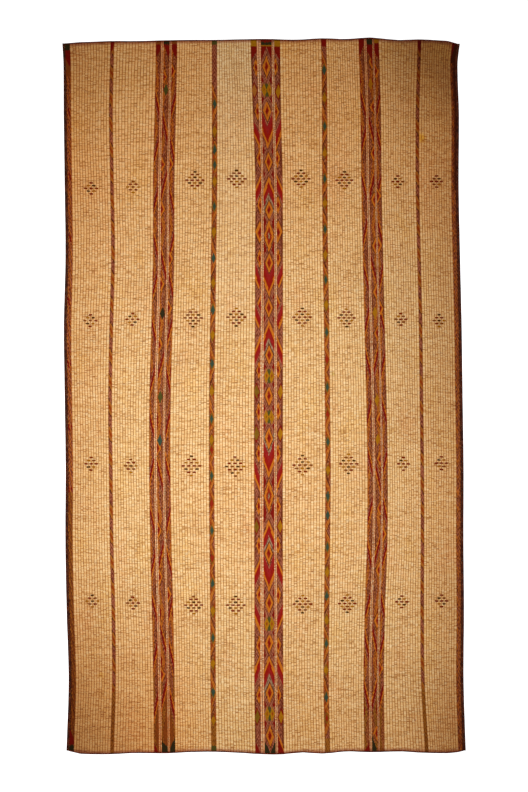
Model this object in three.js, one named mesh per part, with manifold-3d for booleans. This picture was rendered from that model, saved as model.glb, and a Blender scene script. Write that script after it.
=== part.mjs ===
// A flat floor mat of palm reeds and leather thongs, with bands of coloured leather running along it
// and leather folded round its edges. Millimetres, +Z up. The mat lies face up on z = 0 with its
// length along Y and its width along X. Its origin is the middle of the bottom of its box.

import * as THREE from 'three';
import { mergeVertices } from 'three/addons/utils/BufferGeometryUtils.js';
import Module from 'manifold-3d';

// ---- Driving dimensions -------------------------------------------------------------------------

const HALF_LENGTH = 2600;      // from the middle of the mat to an end, before the end's waves
const LENGTH_RUNS = 40;        // straight runs along each band and side
const WIDTH_RUNS = 42;         // straight runs along each end

const GROUND_TOP = 4.0;        // the woven ground fills the height from z = 0 to here
const LEATHER = 1.2;           // thickness of every piece of leather
const GAP = 0.3;               // clearance between pieces that touch

const SIDE_BINDING = 18;       // how far the side bindings reach in over the mat
const END_BINDING = 9;         // how far the end bindings reach in over the mat
const BORDER_BAND = 36;        // width of the band beside each side binding

const ALONG_STEP = 1 / LENGTH_RUNS;
const ACROSS_START = -1480;    // just outside the mat's left edge
const ACROSS_STEP = -2 * ACROSS_START / WIDTH_RUNS;

// Where the lengthwise lines of the mat lie, in millimetres across it. A row gives one section, as a
// share of the length from the near end. The weave drifts by hand, and neighbouring lines together.
const LINE_COLUMNS = [
  'along', 'left', 'stripe1', 'leftBand', 'stripe2', 'middleLeft', 'middleBand', 'stripe3', 'rightBand',
  'stripe4', 'right',
];
const LINE_ROWS = [
  [0.000, -1443, -1110, -725, -366, -42, 44, 464, 807, 1188, 1472],
  [0.100, -1427, -1096, -731, -372, -49, 38, 453, 801, 1159, 1457],
  [0.200, -1442, -1100, -741, -374, -48, 36, 457, 810, 1154, 1460],
  [0.300, -1451, -1113, -754, -380, -50, 34, 463, 827, 1156, 1456],
  [0.400, -1449, -1119, -761, -383, -51, 34, 467, 829, 1154, 1457],
  [0.500, -1456, -1124, -759, -382, -51, 35, 462, 820, 1148, 1450],
  [0.600, -1462, -1115, -745, -375, -45, 35, 456, 807, 1142, 1443],
  [0.700, -1450, -1102, -733, -368, -44, 35, 447, 795, 1130, 1431],
  [0.800, -1456, -1110, -732, -361, -42, 33, 443, 784, 1119, 1421],
  [0.900, -1463, -1118, -721, -361, -60, 21, 442, 779, 1120, 1423],
  [0.970, -1465, -1111, -713, -362, -73, 16, 438, 768, 1130, 1413],
  [1.000, -1473, -1106, -712, -362, -76, 15, 434, 764, 1134, 1429],
];

// How far each end bulges out past HALF_LENGTH, a row for each place across the mat.
const END_COLUMNS = ['across', 'near', 'far'];
const END_ROWS = [
  [-1450, -22, -27],
  [-1370, 8, -18],
  [-1230, 15, -13],
  [-1105, 14, -8],
  [-950, 6, -9],
  [-715, 8, -3],
  [-540, -1, 0],
  [-365, -3, 0],
  [-170, 5, 4],
  [15, 16, 7],
  [165, 14, 2],
  [235, 0, 1],
  [435, 10, 12],
  [600, -6, 6],
  [765, 0, 18],
  [890, -3, 7],
  [980, -7, -1],
  [1130, 2, 4],
  [1250, 6, -2],
  [1350, 6, -9],
  [1420, -2, -30],
  [1465, -16, -34],
];

// The strips of coloured leather: the line that each follows, how far its own middle lies to the
// right of that line, and its width.
const STRIP_COLUMNS = ['name', 'line', 'offset', 'width'];
const STRIP_ROWS = [
  ['border_band_left', 'left', SIDE_BINDING + GAP + BORDER_BAND / 2, BORDER_BAND],
  ['narrow_stripe_1', 'stripe1', 0, 26],
  ['left_band_strip_1', 'leftBand', -59, 36],
  ['left_band_strip_2', 'leftBand', 1, 44],
  ['left_band_strip_3', 'leftBand', 58, 38],
  ['narrow_stripe_2', 'stripe2', 0, 37],
  ['middle_band_strip_1', 'middleLeft', 0, 43],
  ['middle_band_strip_2', 'middleBand', 1, 79],
  ['middle_band_strip_3', 'middleBand', 80, 44],
  ['narrow_stripe_3', 'stripe3', 0, 37],
  ['right_band_strip_1', 'rightBand', -55, 39],
  ['right_band_strip_2', 'rightBand', 3, 42],
  ['right_band_strip_3', 'rightBand', 55, 35],
  ['narrow_stripe_4', 'stripe4', 0, 25],
  ['border_band_right', 'right', -SIDE_BINDING - GAP - BORDER_BAND / 2, BORDER_BAND],
];

// ---- Materials ----------------------------------------------------------------------------------

const reed = new THREE.MeshStandardMaterial({ color: 0xcf9d62, roughness: 0.75, metalness: 0 });
const edgeLeather = new THREE.MeshStandardMaterial({ color: 0x24100a, roughness: 0.6, metalness: 0 });
const endLeather = new THREE.MeshStandardMaterial({ color: 0x5a2010, roughness: 0.65, metalness: 0 });
const bandLeather = new THREE.MeshStandardMaterial({ color: 0x8a3418, roughness: 0.65, metalness: 0 });

// ---- The mat's plan -----------------------------------------------------------------------------

const asRecords = (columns, rows) => rows.map(
  (row) => Object.fromEntries(columns.map((column, i) => [column, row[i]])),
);

const LINES = asRecords(LINE_COLUMNS, LINE_ROWS);
const ENDS = asRecords(END_COLUMNS, END_ROWS);
const STRIPS = asRecords(STRIP_COLUMNS, STRIP_ROWS);

// Reads a table between its rows, on a smooth curve through them.
function readTable(table, key, column, at) {
  const last = table.length - 1;
  const past = table.findIndex((row) => row[key] > at);
  const high = past < 0 ? last : Math.max(1, past);
  const low = high - 1;
  const slope = (a, b) => (table[b][column] - table[a][column]) / (table[b][key] - table[a][key]);
  const span = table[high][key] - table[low][key];
  const t = THREE.MathUtils.clamp((at - table[low][key]) / span, 0, 1);
  const leaving = slope(Math.max(0, low - 1), high) * span;
  const arriving = slope(low, Math.min(last, high + 1)) * span;
  const rise = table[high][column] - table[low][column];
  const square = 3 * rise - 2 * leaving - arriving;
  const cubic = leaving + arriving - 2 * rise;
  return table[low][column] + ((cubic * t + square) * t + leaving) * t;
}

// Joins values a step apart by straight runs, so that neighbours share their corners exactly.
function onRuns(valueAt, start, step, at) {
  const low = start + Math.floor((at - start) / step) * step;
  return THREE.MathUtils.lerp(valueAt(low), valueAt(low + step), (at - low) / step);
}

const lineAt = (line, along) => onRuns((s) => readTable(LINES, 'along', line, s), 0, ALONG_STEP, along);
const waveAt = (end, x) => onRuns((s) => readTable(ENDS, 'across', end, s), ACROSS_START, ACROSS_STEP, x);
const nearEnd = (x) => -HALF_LENGTH - waveAt('near', x);
const farEnd = (x) => HALF_LENGTH + waveAt('far', x);

// The place along the mat of a point at x, as a share of its length there.
const placeAlong = (x, along) => THREE.MathUtils.lerp(nearEnd(x), farEnd(x), along);

// The stations along a piece that stops short of both ends by an inset.
function stationsAlong(inset) {
  const trim = inset / (2 * HALF_LENGTH);
  const between = [...Array(LENGTH_RUNS - 1).keys()].map((i) => (i + 1) * ALONG_STEP);
  return [trim, ...between, 1 - trim];
}

// The stations across an end between two places.
function stationsAcross(from, to) {
  const all = [...Array(WIDTH_RUNS + 1).keys()].map((i) => ACROSS_START + i * ACROSS_STEP);
  return [from, ...all.filter((x) => x > from + GAP && x < to - GAP), to];
}

// ---- Solids -------------------------------------------------------------------------------------

// Closes a row of like sections, each a ring of points, into one solid with its faces out.
function loft(sections, profile) {
  const ring = profile.length;
  const triangles = [];
  for (let s = 0; s + 1 < sections.length; s += 1) {
    for (let i = 0; i < ring; i += 1) {
      const a = s * ring + i;
      const b = s * ring + ((i + 1) % ring);
      triangles.push([a, b, b + ring], [a, b + ring, a + ring]);
    }
  }
  const lastRing = (sections.length - 1) * ring;
  for (const [a, b, c] of THREE.ShapeUtils.triangulateShape(profile, [])) {
    triangles.push([c, b, a], [a + lastRing, b + lastRing, c + lastRing]);
  }
  const points = sections.flat();
  const volume = triangles.reduce(
    (sum, [a, b, c]) => sum + points[a].dot(points[b].clone().cross(points[c])),
    0,
  );
  const outward = volume > 0 ? triangles : triangles.map(([a, b, c]) => [c, b, a]);
  const geometry = new THREE.BufferGeometry().setFromPoints(points);
  geometry.setIndex(outward.flat());
  const faceted = geometry.toNonIndexed();
  faceted.computeVertexNormals();
  return faceted;
}

// The section of leather folded round an edge: depth runs in from the edge, under and over the mat.
function foldedSection(reach) {
  const top = GROUND_TOP + GAP + LEATHER;
  return [
    new THREE.Vector2(0, 0),
    new THREE.Vector2(reach, 0),
    new THREE.Vector2(reach, LEATHER),
    new THREE.Vector2(LEATHER, LEATHER),
    new THREE.Vector2(LEATHER, top - LEATHER),
    new THREE.Vector2(reach, top - LEATHER),
    new THREE.Vector2(reach, top),
    new THREE.Vector2(0, top),
  ];
}

function sideBinding(line, inward) {
  const profile = foldedSection(SIDE_BINDING);
  return loft(stationsAlong(0).map((along) => profile.map((p) => {
    const x = lineAt(line, along) + inward * p.x;
    return new THREE.Vector3(x, placeAlong(x, along), p.y);
  })), profile);
}

// An end binding lies between the side bindings, clear of both over its whole reach.
function endBinding(endAt, along, inward) {
  const profile = foldedSection(END_BINDING);
  const reached = Math.abs(along - END_BINDING / (2 * HALF_LENGTH));
  const clear = SIDE_BINDING + 2 * GAP;
  const from = Math.max(lineAt('left', along), lineAt('left', reached)) + clear;
  const to = Math.min(lineAt('right', along), lineAt('right', reached)) - clear;
  return loft(stationsAcross(from, to).map(
    (x) => profile.map((p) => new THREE.Vector3(x, endAt(x) + inward * p.x, p.y)),
  ), profile);
}

// A strip of coloured leather lies on the ground and stops at the end bindings.
function strip({ line, offset, width }) {
  const bottom = GROUND_TOP + GAP;
  const top = bottom + LEATHER;
  const profile = [
    new THREE.Vector2(offset - width / 2, bottom),
    new THREE.Vector2(offset + width / 2, bottom),
    new THREE.Vector2(offset + width / 2, top),
    new THREE.Vector2(offset - width / 2, top),
  ];
  return loft(stationsAlong(END_BINDING + GAP).map((along) => profile.map((p) => {
    const x = lineAt(line, along) + p.x;
    return new THREE.Vector3(x, placeAlong(x, along), p.y);
  })), profile);
}

// The plan of the ground, drawn in from the mat's edge by an inset at the sides and at the ends.
function groundPlan(sideInset, endInset) {
  const left = (along) => lineAt('left', along) + sideInset;
  const right = (along) => lineAt('right', along) - sideInset;
  const point = (x, along) => new THREE.Vector2(x, placeAlong(x, along));
  const stations = stationsAlong(endInset);
  const between = stations.slice(1, -1);
  const across = (along) => stationsAcross(left(along), right(along)).map((x) => point(x, along));
  return [
    ...across(stations[0]),
    ...between.map((along) => point(right(along), along)),
    ...across(stations.at(-1)).reverse(),
    ...between.map((along) => point(left(along), along)).reverse(),
  ];
}

function slab(plan, bottom, top) {
  const geometry = new THREE.ExtrudeGeometry(new THREE.Shape(plan), {
    depth: top - bottom,
    bevelEnabled: false,
  });
  return geometry.translate(0, 0, bottom);
}

const wasm = await Module();
wasm.setup();

function toManifold(geometry) {
  const bare = geometry.clone();
  bare.deleteAttribute('normal');
  bare.deleteAttribute('uv');
  const merged = mergeVertices(bare);
  return new wasm.Manifold(new wasm.Mesh({
    numProp: 3,
    vertProperties: new Float32Array(merged.attributes.position.array),
    triVerts: new Uint32Array(merged.index.array),
  }));
}

function fromManifold(solid) {
  const mesh = solid.getMesh();
  const geometry = new THREE.BufferGeometry();
  geometry.setAttribute('position', new THREE.BufferAttribute(new Float32Array(mesh.vertProperties), 3));
  geometry.setIndex([...mesh.triVerts]);
  const faceted = geometry.toNonIndexed();
  faceted.computeVertexNormals();
  return faceted;
}

// The ground is full depth inside the bindings. Its margin is stepped up underneath, so that the
// leather folded under it lies flush with its underside and the whole mat lies flat.
function ground() {
  const web = LEATHER + GAP;
  const margin = slab(groundPlan(web, web), web, GROUND_TOP);
  const body = slab(groundPlan(SIDE_BINDING + GAP, END_BINDING + GAP), 0, GROUND_TOP);
  return fromManifold(toManifold(margin).add(toManifold(body)));
}

// ---- The mat ------------------------------------------------------------------------------------

const mat = new THREE.Group();

function add(name, geometry, material) {
  const mesh = new THREE.Mesh(geometry, material);
  mesh.name = name;
  mat.add(mesh);
}

add('mat_ground', ground(), reed);
add('side_binding_left', sideBinding('left', 1), edgeLeather);
add('side_binding_right', sideBinding('right', -1), edgeLeather);
add('end_binding_near', endBinding(nearEnd, 0, 1), endLeather);
add('end_binding_far', endBinding(farEnd, 1, -1), endLeather);
for (const row of STRIPS) {
  add(row.name, strip(row), bandLeather);
}

// The drift of the edges is a little uneven, so the origin is brought to the middle of the box.
const middle = new THREE.Box3().setFromObject(mat).getCenter(new THREE.Vector3());
mat.position.set(-middle.x, -middle.y, 0);

export default mat;
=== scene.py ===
"""Tuareg mat: palm reeds bound with leather thongs, woven leather bands and folded leather edges."""
import math

import bpy
import numpy as np
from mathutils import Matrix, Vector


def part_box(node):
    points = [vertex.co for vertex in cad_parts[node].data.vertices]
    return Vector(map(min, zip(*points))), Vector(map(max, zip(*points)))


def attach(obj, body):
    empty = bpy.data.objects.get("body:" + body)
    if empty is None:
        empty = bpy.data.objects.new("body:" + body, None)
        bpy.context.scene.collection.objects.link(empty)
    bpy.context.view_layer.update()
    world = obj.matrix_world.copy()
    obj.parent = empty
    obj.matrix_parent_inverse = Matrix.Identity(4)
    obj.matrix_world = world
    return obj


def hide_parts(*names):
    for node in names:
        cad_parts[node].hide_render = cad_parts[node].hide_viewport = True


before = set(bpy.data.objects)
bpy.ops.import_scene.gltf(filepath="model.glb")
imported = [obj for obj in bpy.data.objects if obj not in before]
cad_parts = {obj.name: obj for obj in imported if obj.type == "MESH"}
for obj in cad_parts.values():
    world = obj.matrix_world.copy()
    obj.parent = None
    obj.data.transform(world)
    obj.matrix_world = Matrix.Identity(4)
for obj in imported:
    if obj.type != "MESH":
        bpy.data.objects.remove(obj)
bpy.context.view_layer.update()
scene = bpy.context.scene
SEED = 4127
MAT_LENGTH = 5.2
CAMERA_HEIGHT = 13.651

# Heights above the floor and the leather's thickness, in metres.
REED_RIDGE = 0.0039
REED_VALLEY = 0.0029
THONG_BED = 0.0035
BAND_FOOT = 0.0043
BAND_TOP = 0.0052
EDGE_TOP = 0.0055
LEATHER = 0.0012

# Strips from left to right, and the reed columns in the space on the left of each.
STRIPS = (
    ("border_band_left", 0),
    ("narrow_stripe_1", 14),
    ("left_band_strip_1", 14),
    ("left_band_strip_2", 2),
    ("left_band_strip_3", 2),
    ("narrow_stripe_2", 14),
    ("middle_band_strip_1", 14),
    ("middle_band_strip_2", 2),
    ("middle_band_strip_3", 2),
    ("narrow_stripe_3", 15),
    ("right_band_strip_1", 14),
    ("right_band_strip_2", 2),
    ("right_band_strip_3", 2),
    ("narrow_stripe_4", 14),
    ("border_band_right", 13),
)


# ---------------------------------------------------------------- camera and light


def add_object(name, data):
    """A new object in the scene, at the origin."""
    made = bpy.data.objects.new(name, data)
    scene.collection.objects.link(made)
    return made


def set_camera():
    """A camera straight above the middle of the mat."""
    lens = bpy.data.cameras.new("overhead")
    lens.lens = 85.0
    lens.sensor_width = 36.0
    lens.clip_end = 80.0
    camera = add_object("overhead", lens)
    camera.location = (0.0, 0.0, CAMERA_HEIGHT)
    scene.camera = camera


def set_lamp(name, place, size, power):
    """A round soft lamp that shines down and isn't seen itself."""
    lamp = bpy.data.lights.new(name, "AREA")
    lamp.shape = "DISK"
    lamp.size = size
    lamp.energy = power
    made = add_object(name, lamp)
    made.location = place
    made.visible_camera = False


set_camera()
set_lamp("soft_lamp", place=(-0.4, -0.48, 5.05), size=1.3, power=272.0)
scene.view_settings.view_transform = "Standard"


# ---------------------------------------------------------------- node trees written as sums


class Wire:
    """A socket of a node tree. Sums written on it add Math nodes."""

    def __init__(self, bench, socket):
        self.bench = bench
        self.socket = socket

    def __add__(self, other):
        return self.bench.maths("ADD", self, other)

    def __sub__(self, other):
        return self.bench.maths("SUBTRACT", self, other)

    def __rsub__(self, other):
        return self.bench.maths("SUBTRACT", other, self)

    def __mul__(self, other):
        return self.bench.maths("MULTIPLY", self, other)

    def __lt__(self, other):
        return self.bench.maths("LESS_THAN", self, other)

    __radd__ = __add__
    __rmul__ = __mul__


class Bench:
    """One node tree, with a method that adds any node to it."""

    def __init__(self, tree):
        self.tree = tree

    def node(self, kind, settings=None, inputs=None, output=None):
        """Adds a node: settings first, then the values or links of its sockets by name."""
        made = self.tree.nodes.new(kind)
        for key, value in (settings or {}).items():
            setattr(made, key, value)
        for key, value in (inputs or {}).items():
            self.feed(self.find(made.inputs, key), value)
        if made.outputs:
            return Wire(self, self.find(made.outputs, output))

    def find(self, sockets, key):
        """The socket with that number or name, or with no key the first one in use."""
        if isinstance(key, int):
            return sockets[key]
        for socket in sockets:
            if socket.enabled and key in (None, socket.name):
                return socket
        raise KeyError(key)

    def feed(self, socket, value):
        """Links a wire to a socket, or sets the socket's own value."""
        if isinstance(value, Wire):
            self.tree.links.new(value.socket, socket)
        else:
            socket.default_value = value

    def outputs(self, kind, inputs=None):
        """Adds a node and gives all its outputs by name."""
        made = self.node(kind, None, inputs).socket.node
        return {socket.name: Wire(self, socket) for socket in made.outputs}

    def maths(self, operation, *values, clamp=False):
        """One operation on values, kept within 0 and 1 where clamp is set."""
        settings = {"operation": operation, "use_clamp": clamp}
        return self.node("ShaderNodeMath", settings, dict(enumerate(values)))

    def step(self, value, low, high):
        """0 below low and 1 above high, smoothly between."""
        inputs = {"Value": value, "From Min": low, "From Max": high}
        return self.node("ShaderNodeMapRange", {"interpolation_type": "SMOOTHSTEP"}, inputs)

    def blend(self, factor, first, second, how="MIX"):
        """The first colour where the factor is 0, and the second one laid over it where it is 1."""
        settings = {"data_type": "RGBA", "blend_type": how}
        inputs = {0: factor, 6: first, 7: second}
        return self.node("ShaderNodeMix", settings, inputs, 2)

    def toned(self, colour, amount, tone):
        """Multiplies a colour by a tone, as far as the amount says."""
        return self.blend(amount, colour, (*tone, 1.0), "MULTIPLY")

    def attribute(self, name, output="Fac"):
        """A value that the mesh carries."""
        return self.node("ShaderNodeAttribute", {"attribute_name": name}, None, output)

    def place(self, scale=(1.0, 1.0, 1.0)):
        """Object coordinates, scaled."""
        spot = self.node("ShaderNodeTexCoord", None, None, "Object")
        return self.node("ShaderNodeMapping", None, {"Vector": spot, "Scale": scale})

    def plan(self):
        """How far each point is across and along the mat, in metres from its middle."""
        axes = self.outputs("ShaderNodeSeparateXYZ", {0: self.place()})
        return axes["X"], axes["Y"]

    def noise(self, vector, scale, detail=2.0, rough=0.5):
        """Cloudy values of about 0.5, between 0 and 1."""
        inputs = {"Vector": vector, "Scale": scale, "Detail": detail, "Roughness": rough}
        return self.node("ShaderNodeTexNoise", None, inputs)

    def streaks(self, across, along, detail=2.0, rough=0.5):
        """Noise that is stretched: how fine it is across and along the mat."""
        return self.noise(self.place((across, along, 1.0)), 1.0, detail, rough)

    def cell(self, across, along, shift=0.0):
        """A random value held by each whole pair of numbers."""
        inputs = {0: self.maths("FLOOR", across), 1: self.maths("FLOOR", along), 2: shift}
        spot = self.node("ShaderNodeCombineXYZ", None, inputs)
        return self.node("ShaderNodeTexWhiteNoise", {"noise_dimensions": "3D"}, {"Vector": spot}, "Value")


def start_material(name):
    """A new empty material, and the bench that its nodes are added on."""
    made = bpy.data.materials.new(name)
    made.use_nodes = True
    made.node_tree.nodes.clear()
    return made, Bench(made.node_tree)


def finish_surface(bench, colour, rough, height, depth, specular=0.3):
    """Joins the colour, roughness and bump to the surface shader."""
    bump = bench.node("ShaderNodeBump", None, {"Height": height, "Distance": depth, "Strength": 1.0})
    inputs = {
        "Base Color": colour,
        "Roughness": rough,
        "Normal": bump,
        "Specular IOR Level": specular,
    }
    shader = bench.node("ShaderNodeBsdfPrincipled", None, inputs)
    bench.node("ShaderNodeOutputMaterial", None, {"Surface": shader})


def tint(red, green, blue):
    """A screen colour of 0 to 255 as linear light."""
    linear = []
    for part in (red, green, blue):
        part = part / 255.0
        linear.append(part / 12.92 if part <= 0.04045 else ((part + 0.055) / 1.055) ** 2.4)
    return (*linear, 1.0)


# ---------------------------------------------------------------- the plan, read from the frame

SIDES = ("side_binding_left", "side_binding_right")

# Corners of the plan closer than this across are one knot.
KNOT_GAP = 0.006

# How far reed columns sway, and how far the mat rises at the crest of a ripple.
SWAY = 0.005
RIPPLE = 0.0042


def follow(knots, values, at):
    """A smooth curve through the knots, read at any place."""
    slope = np.gradient(values, knots)
    low = np.clip(np.searchsorted(knots, at) - 1, 0, len(knots) - 2)
    run = knots[low + 1] - knots[low]
    u = (at - knots[low]) / run
    first = (1 + 2 * u) * (1 - u) ** 2 * values[low] + u * (1 - u) ** 2 * run * slope[low]
    second = u * u * (3 - 2 * u) * values[low + 1] + u * u * (u - 1) * run * slope[low + 1]
    return first + second


def read(items, field, width, kind=np.float32):
    """One value, or a row of them, from each item of a mesh."""
    values = np.empty(len(items) * width, kind)
    items.foreach_get(field, values)
    return values.reshape(-1, width) if width > 1 else values


def corners(node):
    """The plan corners (x, y) of a CAD node, from the near end to the far end."""
    spots = read(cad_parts[node].data.vertices, "co", 3)
    plan = np.unique(np.round(spots[:, :2].astype(float), 5), axis=0)
    return plan[np.argsort(plan[:, 1], kind="stable")]


def end_knots(binding, far):
    """The outermost line of one end of the mat, as x and y knots."""
    pick = max if far else min
    found = {}
    spots = [tuple(spot) for spot in corners(binding)]
    for side in SIDES:
        ends = corners(side)
        spots += [tuple(spot) for spot in (ends[-3:] if far else ends[:3])]
    for x, y in spots:
        found[x] = pick(found.get(x, y), y)
    kept = []
    for x in sorted(found):
        if not kept or x - kept[-1][0] > KNOT_GAP:
            kept.append((x, found[x]))
    x, y = np.array(kept).T
    return x, y


NEAR_END = end_knots("end_binding_near", False)
FAR_END = end_knots("end_binding_far", True)


def near_y(x):
    """Where the near end of the mat lies at x, as far_y gives its far end."""
    return np.interp(x, *NEAR_END)


def far_y(x):
    return np.interp(x, *FAR_END)


def y_at(x, along):
    """The y at a share of the way along the mat: 0 at its near end and 1 at its far end."""
    return near_y(x) + (far_y(x) - near_y(x)) * along


def along_at(x, y):
    """The share of the way along the mat at a place (x, y)."""
    return (y - near_y(x)) / (far_y(x) - near_y(x))


def edge_knots(node, per_station):
    """The left and right edges of a strip: along knots with an x value each."""
    spots = corners(node)
    rows = spots.reshape(-1, per_station, 2)
    left = rows[np.arange(len(rows)), rows[:, :, 0].argmin(1)]
    right = rows[np.arange(len(rows)), rows[:, :, 0].argmax(1)]
    return [(along_at(side[:, 0], side[:, 1]), side[:, 0]) for side in (left, right)]


EDGES = {name: edge_knots(name, 2) for name, _ in STRIPS}
EDGES.update({name: edge_knots(name, 3) for name in SIDES})


def left_of(name, along):
    """The x of a strip's left edge, as right_of gives its right edge."""
    return follow(*EDGES[name][0], along)


def right_of(name, along):
    return follow(*EDGES[name][1], along)


def waver(at, seed, longest):
    """A smooth random line between about -1 and 1."""
    chance = np.random.default_rng(SEED + seed)
    total = np.zeros_like(at)
    for octave in range(4):
        turns = 2.0 * math.pi * 1.9**octave / longest * chance.uniform(0.8, 1.2)
        total = total + np.sin(at * turns + chance.uniform(0.0, 6.28)) / 1.5**octave
    return total / 2.4


def number_of(name):
    """A number for the random draws of one piece."""
    return sum(map(ord, name))


def bend(name, along):
    """How far the reed columns on the left of a strip sway to one side, halfway across their space."""
    return SWAY * waver(along * MAT_LENGTH, 60 + number_of(name), 1.6)


def lift(x, y):
    """How far the mat rises off the floor in its few slow ripples."""
    wave = np.sin(1.9 * y + 0.8 * np.sin(1.3 * x + 0.4)) * np.cos(0.8 * x + 0.5 * y)
    wave = wave + 0.4 * np.sin(3.1 * x - 1.2 * y + 1.0)
    return RIPPLE * np.clip(wave - 0.55, 0.0, None) ** 1.5


# ---------------------------------------------------------------- meshes


def make_mesh(name, points, rings):
    """A mesh from its points and a list of (corner numbers, corners in each face, smooth)."""
    mesh = bpy.data.meshes.new(name)
    loops = np.concatenate([np.asarray(ring[0], np.int32).ravel() for ring in rings])
    sizes = np.concatenate([np.asarray(ring[1], np.int32).ravel() for ring in rings])
    smooth = np.concatenate([np.full(len(ring[1]), ring[2], bool) for ring in rings])
    mesh.vertices.add(len(points))
    mesh.vertices.foreach_set("co", np.asarray(points, np.float32).ravel())
    mesh.loops.add(len(loops))
    mesh.loops.foreach_set("vertex_index", loops)
    mesh.polygons.add(len(sizes))
    starts = np.concatenate([[0], np.cumsum(sizes)[:-1]]).astype(np.int32)
    mesh.polygons.foreach_set("loop_start", starts)
    mesh.polygons.foreach_set("use_smooth", smooth)
    mesh.update(calc_edges=True)
    mesh.validate()
    return mesh


def put(mesh, name, kind, domain, values):
    """Stores an attribute on a mesh, for its finish to read."""
    field = {"FLOAT": "value", "FLOAT_COLOR": "color"}[kind]
    made = mesh.attributes.new(name, kind, domain)
    made.data.foreach_set(field, np.asarray(values, np.float32).ravel())


def slab_rings(rows, columns, kept):
    """Faces that close a slab: its under side uses the kept rows of its top side."""
    rows, columns = int(rows), int(columns)
    under = rows * columns
    r, c = np.meshgrid(np.arange(len(kept) - 1), np.arange(columns - 1), indexing="ij")
    low = under + r * columns + c
    below = np.stack([low, low + columns, low + columns + 1, low + 1], -1).reshape(-1, 4)
    last = under + (len(kept) - 1) * columns
    c = np.arange(columns - 1)
    near = np.stack([under + c, under + c + 1, c + 1, c], -1)
    top = (rows - 1) * columns
    far = np.stack([last + c + 1, last + c, top + c, top + c + 1], -1)
    quads = np.concatenate([below, near, far])
    corners_list, sizes = [quads.ravel()], [np.full(len(quads), 4)]
    for index in range(len(kept) - 1):
        first, second = kept[index], kept[index + 1]
        steps = np.arange(first, second + 1) * columns
        foot = under + index * columns
        left = np.concatenate([[foot + columns, foot], steps])
        right = np.concatenate([[foot, foot + columns], steps[::-1]])
        right[:2] += columns - 1
        right[2:] += columns - 1
        corners_list += [left, right]
        sizes += [[len(left)], [len(right)]]
    return np.concatenate(corners_list), np.concatenate(sizes), False


def store_map(mesh, u, v):
    """Keeps a flat map: one pair of numbers for each corner of each face."""
    layer = mesh.uv_layers.new(name="OFBake")
    layer.data.foreach_set("uv", np.stack([u, v], -1).astype(np.float32).ravel())


def fold_map(mesh, across, along, folds):
    """A flat map of a long piece, cut into lengths that lie side by side."""
    loops = read(mesh.loops, "vertex_index", 1, np.int32)
    starts = read(mesh.polygons, "loop_start", 1, np.int32)
    sizes = read(mesh.polygons, "loop_total", 1, np.int32)
    owner = np.repeat(np.arange(len(sizes)), sizes)
    u, v = across[loops], along[loops]
    middle = np.add.reduceat(v, starts) / sizes
    fold = np.clip(np.floor(middle * folds), 0, folds - 1)[owner]
    u = (fold + 0.06 + 0.88 * np.clip(u, 0.0, 1.0)) / folds
    v = 0.02 + 0.96 * np.clip(v * folds - fold, -0.02, 1.02)
    store_map(mesh, u, v)


def reach_of(points):
    """How far each point is along the mat, 0 to 1."""
    return np.clip(along_at(points[:, 0], points[:, 1]), 0.0, 1.0)


# ---------------------------------------------------------------- the reed ground

REEDS = 1040
REED_WIDTHS = (0.0043, 0.0057)
DEEP_VALLEY = 0.0006
DEEP_SHARE = 0.22

# The ground's margin, where leather is folded under it: how high its under side steps up, how wide
# it is at the ends, and how far the leather reaches in from the sides and the ends.
MARGIN_FOOT = 0.0015
END_MARGIN = 0.0095
SIDE_REACH = 0.018
END_REACH = 0.009

# The part of the plan that the ground's flat map takes in.
MAP_WIDTH = 2.96
MAP_LENGTH = 5.26

# Lines of the ground near each side: its edge, then two close together where its under side steps up.
SIDE_INSETS = (0.0015, 0.0178, 0.0183)

# The under side has one row of points for this many rows on the top side.
GROUND_ROWS = 26
STRIP_ROWS = 13


def ground_lines(along):
    """Every lengthwise line of the ground: x, reed column, inset from the side, and 1 inside a band."""
    outer = left_of("side_binding_left", along)
    lines = [(outer + inset, -1.5, inset, 0.0) for inset in SIDE_INSETS]
    column = 0
    previous = None
    for number, (name, count) in enumerate(STRIPS):
        left, right = left_of(name, along), right_of(name, along)
        beyond = STRIPS[min(number + 1, len(STRIPS) - 1)][1]
        if count > 2:
            centre = 0.5 * (previous + left) + bend(name, along)
            lines.append((centre, column + 0.5 * count, 1.0, 0.0))
        column += count
        lines.append((left, column if previous is not None else -1.0, 1.0, float(count == 2)))
        column += 0 if previous is None else 1
        lines.append((right, column, 1.0, float(beyond == 2)))
        previous = right
    outer = right_of("side_binding_right", along)
    lines += [(outer - inset, column + 0.5, inset, 0.0) for inset in SIDE_INSETS[::-1]]
    return lines


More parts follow.
